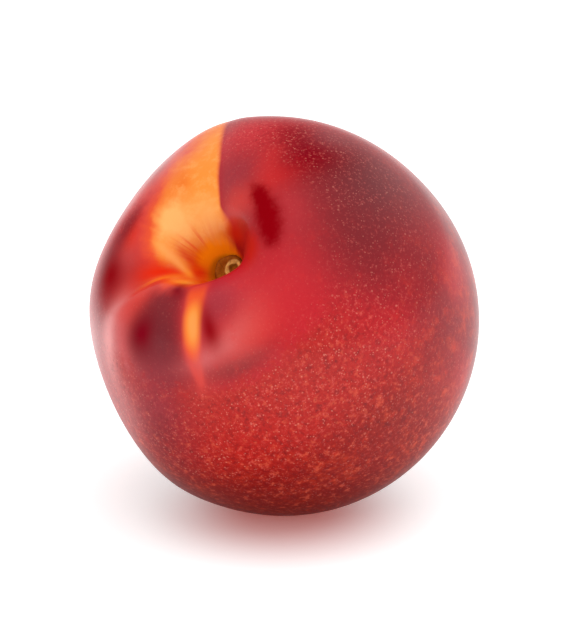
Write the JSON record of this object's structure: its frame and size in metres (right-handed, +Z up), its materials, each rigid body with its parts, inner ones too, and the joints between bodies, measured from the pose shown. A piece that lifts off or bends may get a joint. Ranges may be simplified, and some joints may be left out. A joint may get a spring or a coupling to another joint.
{
  "type": "nectarine",
  "caption": "Whole ripe nectarine with a stalk hollow, a suture seam and the dry stalk end, lying on one cheek on a small flat spot.",
  "frame": {"origin": "on the surface the fruit lies on, under the middle of its bounding box", "axes": "+Z up, +X to the right and +Y away from a viewer who looks into the stalk hollow from above and in front; the stalk end points down the -X -Y diagonal and up"},
  "size_m": [0.0682, 0.0708, 0.0698],
  "materials": {
    "skin": "smooth waxy skin, dark red to maroon with orange and yellow patches, streaks and fine pale speckles",
    "stalk": "dry broken wood, tan with a darker rim"
  },
  "bodies": {
    "root": {"fruit": "skin", "stalk_end": "stalk"}
  },
  "joints": []
}
